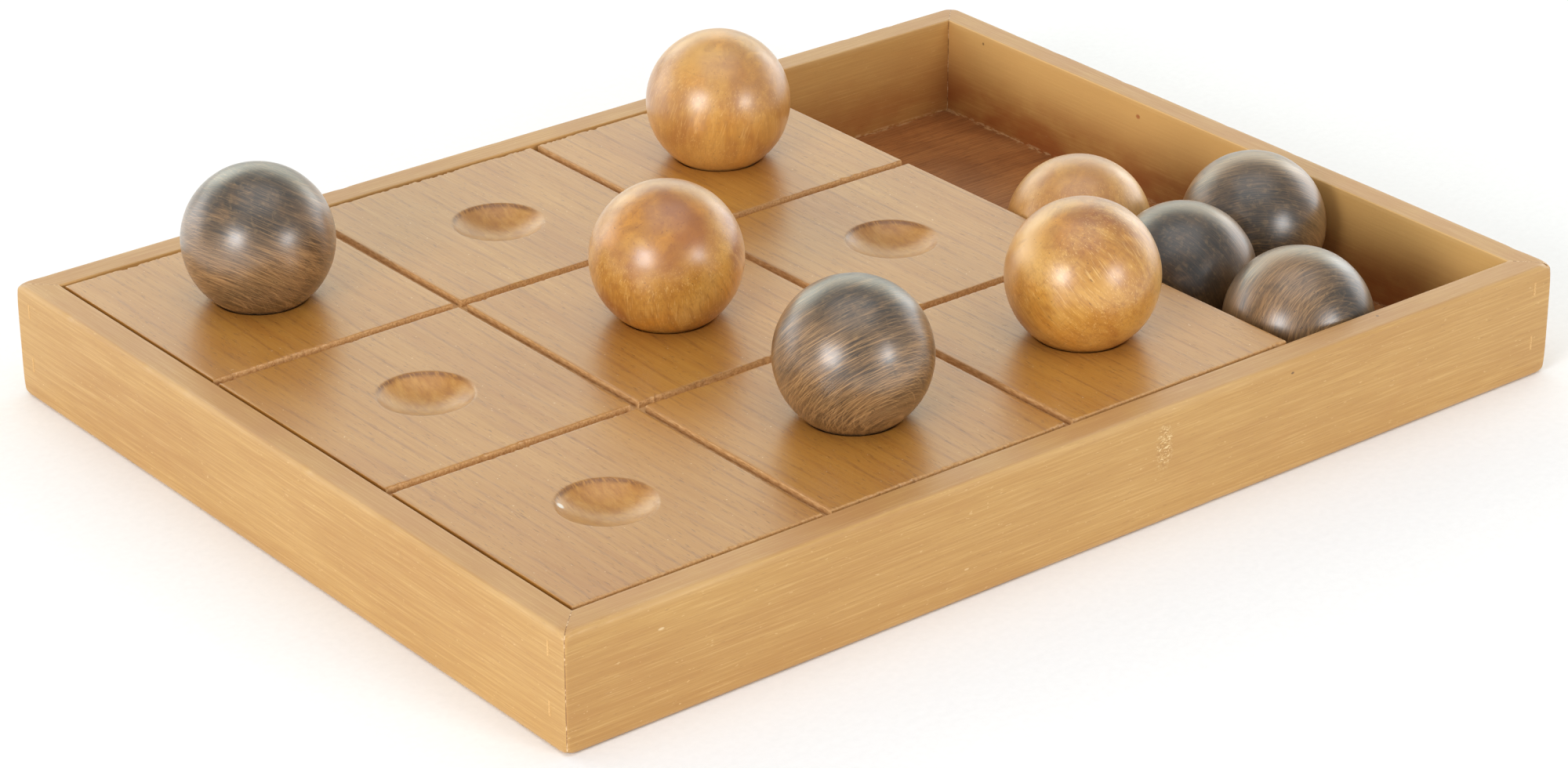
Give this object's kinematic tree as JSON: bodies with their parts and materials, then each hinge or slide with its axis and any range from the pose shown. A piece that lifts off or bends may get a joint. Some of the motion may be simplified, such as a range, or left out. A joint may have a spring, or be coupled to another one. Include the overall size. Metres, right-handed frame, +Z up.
{
  "type": "noughts and crosses ball board",
  "caption": "Mitred wooden tray with a nine-square board, whose dimples seat loose wooden balls, and an open storage trough beside it.",
  "frame": {"origin": "centre of the tray's underside", "axes": "+Z up, +X along the tray towards the storage trough, +Y from the front rail to the back rail"},
  "size_m": [0.457, 0.345, 0.0959],
  "materials": {
    "rail_wood": "stained hardwood, satin lacquer",
    "board_wood": "stained straight-grained hardwood, satin lacquer",
    "base_wood": "brown stained plywood, satin",
    "strip_wood": "unfinished softwood strip",
    "dark_ball_wood": "grey-brown stain, brushed and polished",
    "light_ball_wood": "honey stain with browned poles, polished",
    "staple_steel": "galvanised wire",
    "wood_filler": "pale wood filler, matt"
  },
  "bodies": {
    "tray": {"left_rail": "rail_wood", "right_rail": "rail_wood", "front_rail": "rail_wood", "back_rail": "rail_wood", "base_panel": "base_wood", "game_board": "board_wood", "left_cleat": "strip_wood", "front_cleat": "strip_wood", "back_cleat": "strip_wood", "trough_divider": "rail_wood", "centre_bearer": "strip_wood", "corner_staples": "staple_steel", "base_staples": "staple_steel", "staple_filler": "wood_filler"},
    "dark_ball_1": {"dark_ball_1": "dark_ball_wood"},
    "dark_ball_2": {"dark_ball_2": "dark_ball_wood"},
    "dark_ball_3": {"dark_ball_3": "dark_ball_wood"},
    "dark_ball_4": {"dark_ball_4": "dark_ball_wood"},
    "dark_ball_5": {"dark_ball_5": "dark_ball_wood"},
    "light_ball_1": {"light_ball_1": "light_ball_wood"},
    "light_ball_2": {"light_ball_2": "light_ball_wood"},
    "light_ball_3": {"light_ball_3": "light_ball_wood"},
    "light_ball_4": {"light_ball_4": "light_ball_wood"}
  },
  "joints": [
    {"name": "dark_ball_1_lift", "type": "slide", "parent": "tray", "child": "dark_ball_1", "axis": [0, 0, 1], "range_m": [0, 0.1]},
    {"name": "dark_ball_2_lift", "type": "slide", "parent": "tray", "child": "dark_ball_2", "axis": [0, 0, 1], "range_m": [0, 0.1]},
    {"name": "dark_ball_3_lift", "type": "slide", "parent": "tray", "child": "dark_ball_3", "axis": [0, 0, 1], "range_m": [0, 0.1]},
    {"name": "dark_ball_4_lift", "type": "slide", "parent": "tray", "child": "dark_ball_4", "axis": [0, 0, 1], "range_m": [0, 0.1]},
    {"name": "dark_ball_5_lift", "type": "slide", "parent": "tray", "child": "dark_ball_5", "axis": [0, 0, 1], "range_m": [0, 0.1]},
    {"name": "light_ball_1_lift", "type": "slide", "parent": "tray", "child": "light_ball_1", "axis": [0, 0, 1], "range_m": [0, 0.1]},
    {"name": "light_ball_2_lift", "type": "slide", "parent": "tray", "child": "light_ball_2", "axis": [0, 0, 1], "range_m": [0, 0.1]},
    {"name": "light_ball_3_lift", "type": "slide", "parent": "tray", "child": "light_ball_3", "axis": [0, 0, 1], "range_m": [0, 0.1]},
    {"name": "light_ball_4_lift", "type": "slide", "parent": "tray", "child": "light_ball_4", "axis": [0, 0, 1], "range_m": [0, 0.1]}
  ]
}
